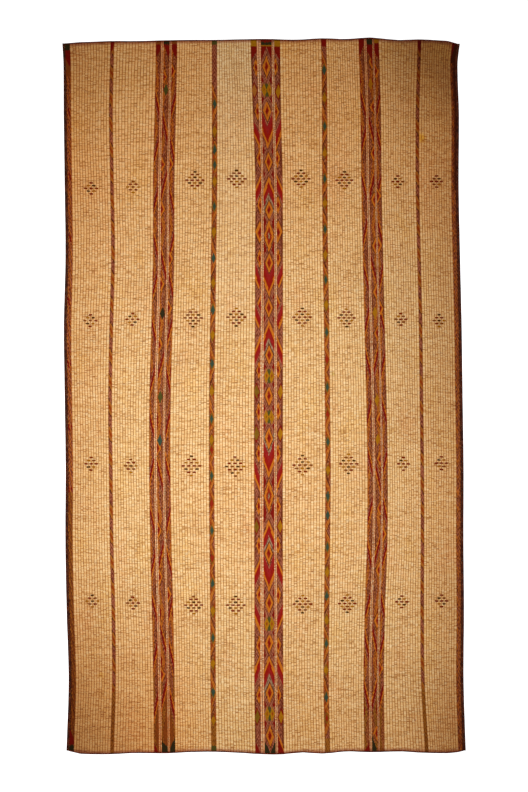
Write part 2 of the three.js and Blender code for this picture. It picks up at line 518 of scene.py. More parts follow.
def make_ground():
    """Reeds across the whole mat, ridged on top, with a flat under side that steps up at the margin."""
    chance = np.random.default_rng(SEED)
    widths = chance.uniform(*REED_WIDTHS, REEDS)
    edges = np.concatenate([[0.0], np.cumsum(widths)]) / widths.sum()
    rows = np.empty(2 * REEDS + 1)
    rows[0::2] = edges
    rows[1::2] = 0.5 * (edges[1:] + edges[:-1])
    height = np.empty(len(rows))
    height[0::2] = REED_VALLEY - DEEP_VALLEY * (chance.random(REEDS + 1) < DEEP_SHARE)
    height[1::2] = REED_RIDGE + chance.uniform(-0.0003, 0.0001, REEDS)
    end = MARGIN_FOOT / MAT_LENGTH
    along = end + (1.0 - 2.0 * end) * rows
    lines = ground_lines(along)
    x = np.stack([line[0] for line in lines], 1)
    column, inset, banded = (np.broadcast_to([line[k] for line in lines], x.shape) for k in (1, 2, 3))
    reed = np.broadcast_to(0.5 * np.arange(len(rows))[:, None], x.shape)
    y = y_at(x, along[:, None])
    rise = lift(x, y)
    top = np.stack([x, y, height[:, None] + rise], -1)
    kept = np.concatenate([[0, 3, 4], np.arange(GROUND_ROWS, len(rows) - 20, GROUND_ROWS)])
    kept = np.concatenate([kept, len(rows) - 1 - np.array([4, 3, 0])])
    ends = np.minimum(along, 1.0 - along)[kept, None] * MAT_LENGTH
    margin = (inset[kept] < SIDE_REACH) | (ends < END_MARGIN)
    foot = np.where(margin, MARGIN_FOOT, 0.0) + rise[kept]
    below = np.stack([x[kept], y[kept], foot], -1)
    points = np.concatenate([top.reshape(-1, 3), below.reshape(-1, 3)])
    r, c = np.meshgrid(np.arange(x.shape[0] - 1), np.arange(x.shape[1] - 1), indexing="ij")
    low = r * x.shape[1] + c
    quads = np.stack([low, low + 1, low + 1 + x.shape[1], low + x.shape[1]], -1).reshape(-1, 4)
    rings = [(quads, np.full(len(quads), 4), True), slab_rings(*x.shape, kept)]
    mesh = make_mesh("reed_ground", points, rings)
    for name, tag in (("column", column), ("reed", reed), ("banded", banded)):
        put(mesh, name, "FLOAT", "POINT", np.concatenate([tag.ravel(), tag[kept].ravel()]))
    flat_ground_map(mesh, len(quads))
    return add_object("reed_ground", mesh)


def flat_ground_map(mesh, top_faces):
    """The top side fills most of the flat map, and the under side a sliver beside it."""
    spots = read(mesh.vertices, "co", 3)
    loops = read(mesh.loops, "vertex_index", 1, np.int32)
    u = (spots[:, 0] + 0.5 * MAP_WIDTH) / MAP_WIDTH
    v = (spots[:, 1] + 0.5 * MAP_LENGTH) / MAP_LENGTH
    top = np.arange(len(loops)) < 4 * top_faces
    store_map(mesh, np.where(top, 0.93 * u[loops], 0.94 + 0.06 * u[loops]), v[loops])


ground = make_ground()


# ---------------------------------------------------------------- repeated pieces laid by nodes


def shape_mesh(name, points, faces):
    """A small mesh from its points and faces."""
    mesh = bpy.data.meshes.new(name)
    mesh.from_pydata(points, [], faces)
    return mesh


def thong_shape():
    """One closed leather float, one unit wide and long: it dips to a point at both ends."""
    points = [(0, -0.5, -0.6), (-0.5, -0.4, -0.2), (0, -0.36, 1), (0.5, -0.4, -0.2)]
    points += [(-0.5, 0.4, -0.2), (0, 0.36, 1), (0.5, 0.4, -0.2), (0, 0.5, -0.6)]
    faces = [(0, 2, 1), (0, 3, 2), (0, 1, 3), (7, 4, 5), (7, 5, 6), (7, 6, 4)]
    faces += [(1, 2, 5, 4), (2, 3, 6, 5), (3, 1, 4, 6)]
    return shape_mesh("thong_shape", points, faces)


def pad_shape():
    """One closed dash of leather: flat and slightly domed, with rounded ends."""
    ring = [(-0.5, -0.22), (-0.36, -0.5), (0.36, -0.5), (0.5, -0.22)]
    ring += [(-x, -y) for x, y in ring]
    points = [(x, y, -0.6) for x, y in ring] + [(0.84 * x, 0.8 * y, 0.75) for x, y in ring]
    points.append((0, 0, 1))
    faces = [(k, (k + 1) % 8, 8 + (k + 1) % 8, 8 + k) for k in range(8)]
    faces += [(8 + k, 8 + (k + 1) % 8, 16) for k in range(8)]
    faces.append(tuple(range(7, -1, -1)))
    return shape_mesh("pad_shape", points, faces)


LAY_SIZES = ("Spacing", "Width", "Length", "Height", "Turn", "Slide", "Spread")


def lay_tree(name, on_lines):
    """Nodes that lay one shape along lines at a spacing, or at each point, each a little different."""
    tree = bpy.data.node_groups.new(name, "GeometryNodeTree")
    sockets = tree.interface
    sockets.new_socket("Places", in_out="INPUT", socket_type="NodeSocketGeometry")
    sockets.new_socket("Shape", in_out="INPUT", socket_type="NodeSocketObject")
    sockets.new_socket("Finish", in_out="INPUT", socket_type="NodeSocketMaterial")
    for size in LAY_SIZES:
        sockets.new_socket(size, in_out="INPUT", socket_type="NodeSocketFloat")
    sockets.new_socket("Seed", in_out="INPUT", socket_type="NodeSocketInt")
    sockets.new_socket("Laid", in_out="OUTPUT", socket_type="NodeSocketGeometry")
    bench = Bench(tree)
    take = bench.outputs("NodeGroupInput")

    def differ(low, high, shift):
        inputs = {"Min": low, "Max": high, "Seed": take["Seed"] + shift}
        return bench.node("FunctionNodeRandomValue", {"data_type": "FLOAT"}, inputs)

    places = take["Places"]
    turn = bench.node("ShaderNodeCombineXYZ", None, {"Z": take["Turn"] + differ(-0.05, 0.05, 4)})
    if on_lines:
        lines = bench.node("GeometryNodeMeshToCurve", None, {"Mesh": places})
        inputs = {"Curve": lines, "Length": take["Spacing"]}
        places = bench.node("GeometryNodeResampleCurve", {"mode": "LENGTH"}, inputs)
        heading = bench.node("GeometryNodeInputTangent")
        inputs = {"Vector": heading, "Scale": take["Slide"] * differ(-1.0, 1.0, 3)}
        step = bench.node("ShaderNodeVectorMath", {"operation": "SCALE"}, inputs)
        places = bench.node("GeometryNodeSetPosition", None, {"Geometry": places, "Offset": step})
        facing = bench.node("FunctionNodeAlignRotationToVector", {"axis": "Y"}, {"Vector": heading})
        inputs = {"Rotation": facing, "Rotate By": turn}
        turn = bench.node("FunctionNodeRotateRotation", {"rotation_space": "LOCAL"}, inputs)
    grown = {}
    for shift, size in enumerate(("Width", "Length", "Height")):
        grown[shift] = take[size] * (1.0 + take["Spread"] * differ(-1.0, 1.0, shift))
    size = bench.node("ShaderNodeCombineXYZ", None, grown)
    shape = bench.node("GeometryNodeObjectInfo", None, {"Object": take["Shape"]}, "Geometry")
    inputs = {"Points": places, "Instance": shape, "Rotation": turn, "Scale": size}
    laid = bench.node("GeometryNodeInstanceOnPoints", None, inputs)
    settings = {"data_type": "FLOAT", "domain": "INSTANCE"}
    inputs = {"Geometry": laid, "Name": "tone", "Value": differ(0.0, 1.0, 7)}
    tagged = bench.node("GeometryNodeStoreNamedAttribute", settings, inputs)
    whole = bench.node("GeometryNodeRealizeInstances", None, {"Geometry": tagged})
    smooth = bench.node("GeometryNodeSetShadeSmooth", None, {"Geometry": whole})
    done = bench.node("GeometryNodeSetMaterial", None, {"Geometry": smooth, "Material": take["Finish"]})
    bench.node("NodeGroupOutput", None, {"Laid": done})
    return tree


def lay(name, places, tree, values):
    """Runs a laying tree on a mesh of lines or points, and keeps the plain mesh that it makes."""
    carrier = add_object(name + "_places", places)
    modifier = carrier.modifiers.new("lay", "NODES")
    modifier.node_group = tree
    for item in tree.interface.items_tree:
        if item.in_out == "INPUT" and item.name in values:
            modifier[item.identifier] = values[item.name]
    steady = carrier.evaluated_get(bpy.context.evaluated_depsgraph_get())
    mesh = bpy.data.meshes.new_from_object(steady)
    bpy.data.objects.remove(carrier)
    mesh.name = name
    return add_object(name, mesh)


def line_mesh(name, lines):
    """Lines of points as a mesh of edges."""
    points = np.concatenate(lines)
    edges, first = [], 0
    for line in lines:
        edges += [(first + k, first + k + 1) for k in range(len(line) - 1)]
        first += len(line)
    mesh = bpy.data.meshes.new(name)
    mesh.from_pydata(points.tolist(), edges, [])
    return mesh


# ---------------------------------------------------------------- thongs that bind the reeds

# The open spaces between strips: the two strips, and the reed columns between them.
SPACES = [(left, right, count) for (left, _), (right, count) in zip(STRIPS, STRIPS[1:])]

# Where thongs start and end along the mat, just under the leather of its ends.
THONG_ENDS = (0.004, 0.996)


def across_space(space, along, share):
    """x at a share of the way across one open space."""
    left, right = right_of(space[0], along), left_of(space[1], along)
    sway = bend(space[1], along) * (space[2] > 2)
    return left + (right - left) * share + sway * (1.0 - abs(2.0 * share - 1.0))


def thong_lines(chosen):
    """One line between every two reed columns of the chosen spaces."""
    lines = []
    along = np.linspace(*THONG_ENDS, 161)
    for space in chosen:
        for number in range(1, space[2]):
            x = across_space(space, along, number / space[2])
            y = y_at(x, along)
            lines.append(np.stack([x, y, THONG_BED + lift(x, y)], 1))
    return lines


def map_group(obj, left, right, folds):
    """A flat map for a group of pieces that runs between two lines of the mat."""
    spots = read(obj.data.vertices, "co", 3).astype(float)
    along = reach_of(spots)
    low = left_of(left, along)
    across = (spots[:, 0] - low) / (right_of(right, along) - low)
    fold_map(obj.data, across, along, folds)


# ---------------------------------------------------------------- dyes and woven patterns

# Each dye: the colour of its thread, or of the three threads that it is woven from in turn.
DYES = {
    "deep red": ((122, 16, 4),),
    "orange": ((196, 108, 24),),
    "rust": ((146, 58, 8),),
    "mauve": ((168, 99, 68), (140, 72, 48), (110, 50, 30)),
    "grey": ((162, 128, 96), (136, 98, 70), (104, 66, 44)),
    "gold": ((166, 108, 8),),
    "teal": ((54, 72, 56),),
    "green": ((76, 72, 26),),
    "green black": ((44, 38, 16),),
    "brown": ((132, 68, 20),),
    "dark brown": ((76, 32, 10),),
    "plum": ((130, 66, 40), (112, 48, 26), (88, 34, 15)),
    "tan": ((166, 98, 34),),
    "ochre": ((160, 100, 34), (142, 84, 24), (114, 62, 18)),
    "olive": ((124, 86, 16),),
    "crimson": ((146, 28, 24),),
    "fawn": ((170, 102, 54), (142, 74, 34), (112, 50, 22)),
    "umber": ((126, 64, 28), (102, 45, 16), (80, 31, 9)),
    "brick": ((146, 38, 10),),
    "amber": ((190, 110, 38), (174, 95, 28), (150, 74, 20)),
    "dash red": ((126, 36, 2),),
    "dash gold": ((172, 108, 10),),
    "dash dark": ((78, 46, 4),),
    "bright red": ((146, 22, 6),),
}
DYE_NAMES = list(DYES)

# The light of each dye's three threads, which are alike in a plain dye.
DYE_LIGHT = np.array([[tint(*threads[k % len(threads)]) for k in range(3)] for threads in DYES.values()])


def dye(name):
    """The number of a dye, as the patterns hold it."""
    return DYE_NAMES.index(name)


# Diamonds of the middle band: place in millimetres from the middle of the mat, and half length.
# Those longer than LONG_DIAMOND are grey at heart, and the others red.
LONG_DIAMOND = 100
MIDDLE_DIAMONDS = (
    (2402, 77), (2080, 73), (1708, 70), (1358, 66), (1168, 110), (971, 70), (642, 70), (299, 70),
    (0, 77), (-307, 80), (-730, 117), (-1150, 73), (-1511, 73), (-1803, 77), (-2168, 73), (-2482, 77),
)

# Pairs of gold diamonds side by side on the middle band.
MIDDLE_PAIRS = (2234, 146, -153, -1664, -2321)

# Chevrons of the middle band: point, way it opens, then how deep its orange, red and outer layers are.
MIDDLE_CHEVRONS = (
    (1803, 1, 42, 160, 205, "mauve"), (1606, -1, 42, 118, 175, "grey"),
    (723, 1, 42, 160, 205, "mauve"), (555, -1, 42, 124, 182, "grey"),
    (-599, 1, 42, 165, 240, "grey"), (-898, -1, 42, 118, 190, "grey"),
    (-1431, 1, 42, 165, 200, "mauve"), (-1891, -1, 42, 131, 204, "grey"),
)

# Half diamonds of the middle band's side strips, the big one, chevrons (point, way) and gold diamonds.
SIDE_DIAMONDS = (2400, 2075, 1735, 1395, 1195, 1005, 190, -115, -420, -805, -1090, -1450, -1820, -2185)
BIG_SIDE_DIAMOND = 1195
SIDE_CHEVRONS = (
    (1810, 1), (1605, -1), (760, 1), (725, -1), (465, 1), (425, -1), (-680, 1),
    (-1195, -1), (-1715, 1), (-1905, -1),
)
SIDE_GOLDS = (2225, 30, -275, -950, -2340)

# Slanting lines of the side bands' outer strips: place and way, and the same for their middle strips.
LEFT_SLANTS = (
    (2125, -1), (1795, 1), (1425, 1), (1095, -1), (810, 1), (475, -1), (110, 1),
    (-205, -1), (-540, 1), (-905, -1), (-1220, 1), (-1550, -1), (-1890, 1), (-2255, 1),
)
RIGHT_SLANTS = (
    (2125, -1), (1870, 1), (1525, -1), (1195, 1), (870, -1), (555, 1), (235, -1),
    (-115, 1), (-480, -1), (-840, 1), (-1160, -1), (-1535, 1), (-1820, -1), (-2185, -1),
)
LEFT_CENTRE_SLANTS = (
    (1955, -1), (1540, 1), (955, -1), (225, 1), (-575, -1), (-1160, 1), (-1780, -1), (-2170, 1),
)
RIGHT_CENTRE_SLANTS = (
    (1940, -1), (1535, 1), (920, -1), (255, 1), (-590, -1), (-1125, 1), (-1780, -1), (-2185, 1),
)

# The side bands' strips: their slanting lines, how steep those are, and the dye near the near end.
SLANT_STRIPS = {
    "left_band_strip_1": (LEFT_SLANTS, 4.6, "brown"),
    "left_band_strip_2": (LEFT_CENTRE_SLANTS, 4.4, "brown"),
    "left_band_strip_3": (LEFT_SLANTS, -4.6, "brown"),
    "right_band_strip_1": (RIGHT_SLANTS, 4.6, "fawn"),
    "right_band_strip_2": (RIGHT_CENTRE_SLANTS, -4.4, "fawn"),
    "right_band_strip_3": (RIGHT_SLANTS, -4.6, "fawn"),
}

# Half diamonds on the strips of the side bands: which edge they stand on, and their places.
EDGE_DIAMONDS = {
    "left_band_strip_2": (-1, (2330, 1690, 1365, 815, 375, -380, -980, -1320, -2035)),
    "right_band_strip_2": (
        1, (2440, 2110, 1770, 1430, 1095, 760, 460, -170, -460, -820, -1270, -1640, -2460),
    ),
    "left_band_strip_3": (-1, (2370, 1690, 1000, 640, -1450)),
    "right_band_strip_3": (-1, (2370, 1460, 1100, 640, -1010, -1990)),
}

# Whole diamonds on the same strips: place, half length and dye.
SINGLE_DIAMONDS = {
    "left_band_strip_2": (
        (2235, 50, "green"), (605, 46, "green black"), (-10, 48, "green"), (-325, 42, "teal"),
    ),
    "right_band_strip_2": (
        (2275, 46, "gold"), (610, 50, "gold"), (-30, 50, "gold"), (-316, 46, "gold"),
    ),
}

# Diamonds of the two narrow stripes beside the middle: dye, then the places.
STRIPE_DIAMONDS = {
    "narrow_stripe_2": (
        ("teal", (2130, 1795, 1690, 1383, 1008, 628, 237, -170, -585, -980, -1370, -1765, -2160)),
        ("gold", (1931, 1566, 1197, 825, 445, 37, -320, -1570, -1955, -2370)),
        ("brick", (-395, -780, -1185)),
    ),
    "narrow_stripe_3": (
        ("teal", (2380, 1967, 1584, 1219, 847, 467, 66, -336, -730, -870, -1102, -1460, -1810, -2197)),
        ("gold", (2175, 1774, 1409, 1029, 664, -540, -1285, -1635, -2000)),
        ("brick", (263, -131, -2350)),
    ),
}

# Plain blocks at the ends of the strips: where the block starts, how much that line leans, and its dye.
# Later blocks lie over earlier ones.
END_BLOCKS = {
    "border_band_left": (
        (2330, 0.0, "brown"), (2425, -2.0, "deep red"), (2520, 0.0, "green black"),
        (-2467, -2.3, "deep red"), (-2546, 0.0, "green black"),
    ),
    "narrow_stripe_1": ((2525, 2.0, "deep red"), (-2160, 1.5, "ochre")),
    "left_band_strip_1": ((2500, 2.0, "deep red"), (2566, 0.0, "brown"), (-2573, -2.9, "deep red")),
    "left_band_strip_2": (
        (2510, -2.0, "deep red"), (2564, 0.0, "green black"), (-2540, -1.0, "green black"),
    ),
    "left_band_strip_3": ((2490, -2.0, "deep red"), (2566, 0.0, "brown"), (-2530, 2.0, "green black")),
    "narrow_stripe_2": ((2560, 0.0, "green"), (-2400, 0.0, "ochre"), (-2555, 0.0, "green")),
    "middle_band_strip_1": ((2482, 1.6, "deep red"), (2553, 0.0, "gold"), (-2573, -2.5, "deep red")),
    "middle_band_strip_2": ((2551, 0.0, "gold"), (2562, 0.0, "green black"), (2581, 0.0, "deep red")),
    "middle_band_strip_3": (
        (2482, -1.6, "deep red"), (2553, 0.0, "gold"), (-2515, -2.9, "orange"),
        (-2538, -2.9, "deep red"),
    ),
    "narrow_stripe_3": ((2550, 0.0, "deep red"), (-2500, 0.0, "ochre")),
    "right_band_strip_1": ((2520, 2.0, "deep red"), (-2560, 2.0, "deep red")),
    "right_band_strip_2": (
        (2480, -2.0, "deep red"), (2566, 0.0, "green black"), (-2538, -3.1, "green black"),
    ),
    "right_band_strip_3": ((2480, -2.0, "deep red"), (2575, 0.0, "gold"), (-2575, 0.0, "brown")),
    "narrow_stripe_4": ((2525, -2.0, "deep red"), (-2130, -1.5, "ochre")),
    "border_band_right": ((2430, 0.0, "dark brown"), (2560, 8.0, "deep red")),
}


# Lengths along the patterns, in millimetres: half a wave of the side bands' long lengths, and the pitches
# of the border bands' slanting threads, red lengths and inner threads.
SLANT_WAVE = 176.0
BORDER_PITCH = 118.0
BORDER_RED_PITCH = 230.0
BORDER_INNER_PITCH = 112.0

# Places along the mat, in millimetres: where the left band's third strip changes its lean, where the side
# bands turn ochre and then browner, and where the border bands change their threads.
LEAN_CHANGE = 520.0
OCHRE_START = -2050.0
BROWNER_START = -2200.0
BORDER_BROWN_START = -700.0
BORDER_DARK_START = 1500.0

# How far the middle band's side motifs stand in from the strip's edge, in millimetres.
MOTIF_INSET = 9.0


def layers(depth, limits, names):
    """Dye numbers by depth: one name more than there are limits."""
    return np.array([dye(name) for name in names])[np.searchsorted(limits, depth)]


def paint(shade, where, name):
    """Gives one dye to the places where a test holds."""
    return np.where(where, dye(name), shade)


def ringed(u, y, place, wide, half):
    """How far out from the middle of a diamond: 1 on its outline."""
    return np.abs(u) / wide + np.abs(y - place) / half


def stepped_diamond(shade, ring, heart_edge, field_edge, rim, heart="deep red"):
    """Lays a diamond over a strip: its heart, a brick field, an orange line and an umber rim."""
    inner = layers(ring, (heart_edge, field_edge, 1.0), (heart, "brick", "orange", "umber"))
    return np.where(ring < rim, inner, shade)


def chevron(shade, reach, y, row, slope):
    """A chevron that opens along the mat: plum and mauve before its point, then an orange line,
    a field that turns from bright red to crimson, and an outer layer."""
    place, way, orange, red, outer, name = row
    depth = (y - place) * way - slope * reach
    shade = paint(shade, (depth > red) & (depth < outer), name)
    shade = paint(shade, (depth > orange) & (depth <= red), "crimson")
    shade = paint(shade, (depth > orange) & (depth <= 0.5 * (orange + red)), "bright red")
    shade = paint(shade, (depth > 0) & (depth <= orange), "orange")
    shade = paint(shade, (depth > -80) & (depth <= -12), "mauve")
    return paint(shade, (depth > -12) & (depth <= 0), "plum")


def middle_pattern(u, y):
    """Diamonds, pairs and chevrons on the middle of the middle band, u and y in millimetres."""
    reach = np.abs(u)
    shade = np.full(u.shape, dye("deep red"))
    for place, half in MIDDLE_DIAMONDS:
        ring = ringed(u, y, place, 31.0, half)
        shade = paint(shade, ring < (1.5 if half > LONG_DIAMOND else 1.9), "mauve")
    for row in MIDDLE_CHEVRONS:
        shade = chevron(shade, reach, y, row, 2.9)
    for place, half in MIDDLE_DIAMONDS:
        if half > LONG_DIAMOND:
            ring = ringed(u, y, place, 36.0, 1.06 * half)
            shade = stepped_diamond(shade, ring, 0.24, 0.6, 1.16, "grey")
        else:
            ring = ringed(u, y, place, 29.0, 1.06 * half)
            shade = stepped_diamond(shade, ring, 0.26, 0.52, 1.16)
    for place in MIDDLE_PAIRS:
        ring = ringed(reach - 19.0, y, place, 19.0, 55.0)
        shade = paint(shade, np.abs(y - place) + 1.2 * reach < 88, "mauve")
        shade = paint(shade, (np.abs(y - place) < 50) & (reach < 9), "green")
        shade = np.where(ring < 1.0, layers(ring, (0.28,), ("rust", "gold")), shade)
    return paint(shade, y < -2519.0 - 2.2 * (38.0 - reach), "green black")


def side_pattern(v, y, side):
    """Half of the middle band's motifs, v millimetres outward from the line that they stand on."""
    shade = np.full(v.shape, dye("mauve"))
    shade = paint(shade, v > 21.0, "plum")
    for place, way in SIDE_CHEVRONS:
        shade = chevron(shade, v, y, (place, way, 38, 120, 170, "mauve"), 2.6)
    for place in SIDE_DIAMONDS:
        wide, half = (32.0, 82.0) if place == BIG_SIDE_DIAMOND else (20.0, 68.0)
        shade = stepped_diamond(shade, ringed(v, y, place, wide, half), 0.28, 0.52, 1.18)
    for place in SIDE_GOLDS:
        ring = ringed(v - 17.0, y, place, 20.0, 50.0)
        shade = paint(shade, ring < 1.35, "deep red")
        core = "gold" if side > 0 else "tan" if place > 2000 else "olive"
        shade = paint(shade, ring < 1.0, core)
    return shade


def slant_pattern(u, y, half_width, table, steep, lean, near_dye):
    """Long amber and mauve lengths side by side, crossed by red slants. Lean -1 swaps the lengths,
    and the mauve ones take the near dye at the near end."""
    wave = np.abs((y / SLANT_WAVE) % 2.0 - 1.0) * 2.0 - 1.0
    split = lean * u / half_width + 0.55 * wave + 0.05
    limits = (-0.96, -0.36, -0.22, 0.0, 0.1, 0.5, 0.62, 1.0)
    names = ("deep red", "amber", "rust", "amber", "umber", "mauve", "umber", "fawn", "plum")
    shade = layers(split, limits, names)
    shade = paint(shade, (split > -0.96) & (split < -0.36) & (np.abs(wave) < 0.3), "tan")
    shade = paint(shade, (split > -0.96) & (split < 0.0) & (y < OCHRE_START), "ochre")
    shade = paint(shade, (split > 0.1) & (y < BROWNER_START), near_dye)
    nearest = np.full(u.shape, 1e3)
    signed = np.zeros(u.shape)
    for place, way in table:
        depth = y - place - way * steep * u
        closer = np.abs(depth) < nearest
        signed = np.where(closer, -way * np.sign(steep) * depth, signed)
        nearest = np.where(closer, np.abs(depth), nearest)
    names = ("umber", "mauve", "deep red", "orange", "amber", "umber")
    crossing = layers(signed, (-70.0, -34.0, 28.0, 50.0, 68.0), names)
    return np.where(nearest < 82.0, crossing, shade)


def stripe_pattern(u, y, half_width, table):
    """Diamonds one after another on an olive rim, joined by slanting threads that turn back at each one."""
    nearest = np.full(u.shape, 1e3)
    core = np.zeros(u.shape, int)
    slant = np.zeros(u.shape)
    for name, places in table:
        turn = -2.8 if name == "gold" else 2.8
        for place in places:
            away = np.abs(y - place)
            closer = away < nearest
            core = np.where(closer, dye(name), core)
            slant = np.where(closer, away + turn * u, slant)
            nearest = np.minimum(nearest, away)
    golden = core == dye("gold")
    names = ("umber", "fawn", "rust", "amber", "umber", "mauve")
    beside_teal = layers(slant, (-8.0, 16.0, 46.0, 92.0, 108.0), names)
    beside_gold = layers(slant, (-14.0, 24.0, 70.0, 96.0), ("deep red", "rust", "fawn", "umber", "amber"))
    shade = np.where(golden, beside_gold, beside_teal)
    ring = np.abs(u) / (half_width * np.where(golden, 0.92, 0.76)) + nearest / 35.0
    shade = paint(shade, ring < 1.3, "olive")
    return np.where(ring < 1.0, core, shade)


# The slanting lengths of the two outer narrow stripes: the place of one, and how far apart they are.
PLAIN_STRIPES = {"narrow_stripe_1": (7.0, 188.0), "narrow_stripe_4": (7.0, 186.5)}


def plain_stripe_pattern(u, y, start, pitch):
    """Slanting lengths in turn: mauve, a dark brown line, tan, and rust in the middle of it."""
    part = np.abs(((y - start + 1.6 * u) / pitch + 0.5) % 1.0 - 0.5)
    return layers(part, (0.22, 0.27, 0.42), ("mauve", "dark brown", "tan", "rust"))


def border_pattern(w, y, wide):
    """The border bands, w millimetres from the middle toward the inner edge: slanting threads with a dark
    outer edge. The wide one has red lengths, and the other a line of threads that slant the other way."""
    slant = ((y + 5.5 * w) / BORDER_PITCH) % 1.0
    if wide:
        wave = np.abs((y / BORDER_RED_PITCH) % 2.0 - 1.0)
        shade = layers(slant, (0.3, 0.66, 0.86), ("amber", "mauve", "fawn", "umber"))
        shade = paint(shade, (wave < 0.12) & (slant > 0.5), "deep red")
        browner = layers(slant, (0.42, 0.76), ("ochre", "brown", "umber"))
        shade = np.where(y < BORDER_BROWN_START, browner, shade)
        return paint(shade, w < -14.5, "dark brown")
    counter = ((y - 4.0 * w) / BORDER_INNER_PITCH) % 1.0
    inner = layers(counter, (0.14, 0.5, 0.8), ("umber", "amber", "mauve", "fawn"))
    central = layers(slant, (0.3, 0.6), ("amber", "mauve", "fawn"))
    shade = np.where(w > 5.0, inner, np.where(w > -7.0, central, dye("fawn")))
    darker = y > BORDER_DARK_START
    shade = paint(shade, darker & (w < 4.0), "umber")
    return paint(shade, w < np.where(darker, -5.0, -13.0), "dark brown")


def pattern_of(name, u, y, half_width):
    """The dye number at each place of a strip; u is millimetres from its middle."""
    if name == "middle_band_strip_2":
        shade = middle_pattern(u, y)
    elif name == "middle_band_strip_1":
        shade = side_pattern(half_width - MOTIF_INSET - u, y, -1)
    elif name == "middle_band_strip_3":
        shade = side_pattern(half_width - MOTIF_INSET + u, y, 1)
    elif name in SLANT_STRIPS:
        slants, steep, near_dye = SLANT_STRIPS[name]
        across = -u if name == "right_band_strip_2" else u
        lean = np.where(y > LEAN_CHANGE, 1.0, -1.0) if name == "left_band_strip_3" else 1.0
        shade = slant_pattern(across, y, half_width, slants, steep, lean, near_dye)
    elif name in STRIPE_DIAMONDS:
        shade = stripe_pattern(u, y, half_width, STRIPE_DIAMONDS[name])
    elif name.startswith("border"):
        left = name.endswith("left")
        shade = border_pattern(u if left else -u, y, left)
    else:
        shade = plain_stripe_pattern(u, y, *PLAIN_STRIPES[name])
    side, places = EDGE_DIAMONDS.get(name, (1, ()))
    for place in places:
        ring = ringed(side * half_width * 0.8 - u, y, place, 26.0, 58.0)
        shade = stepped_diamond(shade, ring, 0.32, 0.58, 1.2)
    for place, half, core in SINGLE_DIAMONDS.get(name, ()):
        shade = paint(shade, ringed(u, y, place, half_width * 0.8, half) < 1.0, core)
    for line, lean, core in END_BLOCKS[name]:
        past = y - line - lean * u
        shade = paint(shade, past > 0 if line > 0 else past < 0, core)
    return shade


# ---------------------------------------------------------------- woven strips

FLOAT_WIDTH = 0.0064
FLOAT_LENGTH = 0.016
FLOAT_DIP = 0.0007

# How far it is across three threads of a mixed dye, in millimetres.
THREE_THREADS = 10.3


def strip_faces(rows, columns):
    """Triangles of a field of diamond floats, and the crown point that each belongs to."""
    j, k = np.meshgrid(np.arange(rows - 1), np.arange(columns - 1), indexing="ij")
    a = j * columns + k
    b, c, d = a + 1, a + columns + 1, a + columns
    even = ((j + k) % 2 == 0)[..., None]
    first = np.where(even, np.stack([a, b, d], -1), np.stack([a, b, c], -1))
    second = np.where(even, np.stack([b, c, d], -1), np.stack([a, c, d], -1))
    faces = np.stack([first, second], 2).reshape(-1, 3)
    crowns = np.where(even, np.stack([a, c], -1), np.stack([b, d], -1)).reshape(-1)
    return faces, crowns


def dyed(shade, chance, weave):
    """Linear colours for dye numbers. The dyes of three threads change along the weave's own slant."""
    turn = np.searchsorted((0.38, 0.68), (weave + chance.normal(0.0, 0.08, shade.shape)) % 1.0)
    light = DYE_LIGHT[shade, turn]
    light[..., :3] *= chance.uniform(0.85, 1.17, shade.shape)[..., None]
    return light


def make_strip(name):
    """A woven strip: rows of diamond floats, each in the dye that the strip's pattern gives its crown."""
    chance = np.random.default_rng(SEED + len(name) + number_of(name))
    low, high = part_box(name)
    knots = EDGES[name][0][0]
    width = float((EDGES[name][1][1] - EDGES[name][0][1]).mean())
    cells = max(4, round(2.0 * width / FLOAT_WIDTH))
    steps = int(round((high.y - low.y) / (0.5 * FLOAT_LENGTH) / 2.0)) * 2
    along = knots[0] + (knots[-1] - knots[0]) * np.linspace(0.0, 1.0, steps + 1)
    share = np.linspace(0.0, 1.0, cells + 1)
    slack = chance.uniform(-0.0012, 0.0012, (steps + 1, cells + 1)) / MAT_LENGTH
    slack[[0, -1]] = 0.0
    row_along = along[:, None] + slack
    left, right = left_of(name, row_along), right_of(name, row_along)
    x = left + (right - left) * share
    y = y_at(x, row_along)
    j, k = np.meshgrid(np.arange(steps + 1), np.arange(cells + 1), indexing="ij")
    crown = (j + k) % 2 == 0
    rise = lift(x, y)
    z = BAND_TOP + np.where(crown, chance.uniform(-0.0001, 0.0003, x.shape), -FLOAT_DIP) + rise
    top = np.stack([x, y, z], -1)
    kept = np.append(np.arange(0, steps - STRIP_ROWS // 2, STRIP_ROWS), steps)
    below = np.stack([x[kept], y[kept], BAND_FOOT + rise[kept]], -1)
    points = np.concatenate([top.reshape(-1, 3), below.reshape(-1, 3)])
    faces, crowns = strip_faces(steps + 1, cells + 1)
    walls = slab_rings(steps + 1, cells + 1, kept)
    mesh = make_mesh(name + "_weave", points, [(faces, np.full(len(faces), 3), True), walls])
    u = (share - 0.5) * width * 1000.0
    half_width = 500.0 * width
    shade = pattern_of(name, np.broadcast_to(u, x.shape), y * 1000.0, half_width)
    steep = 4.8 if name.startswith(("left", "right")) else 3.2
    weave = (y * 1000.0 + steep * np.abs(u)) / (THREE_THREADS * steep)
    light = dyed(shade.ravel(), chance, weave.ravel())
    edge_light = np.tile(DYE_LIGHT[dye("brown"), 0], (len(walls[0]), 1))
    put(mesh, "dye", "FLOAT_COLOR", "CORNER", np.concatenate([np.repeat(light[crowns], 3, 0), edge_light]))
    across = np.tile(share, steps + 1 + len(kept))
    run = np.repeat(np.concatenate([np.linspace(0, 1, steps + 1), kept / steps]), cells + 1)
    fold_map(mesh, across, run, folds=8)
    return add_object(name + "_weave", mesh)


strips = {name: make_strip(name) for name, _ in STRIPS}


# ---------------------------------------------------------------- small diamonds of leather dashes

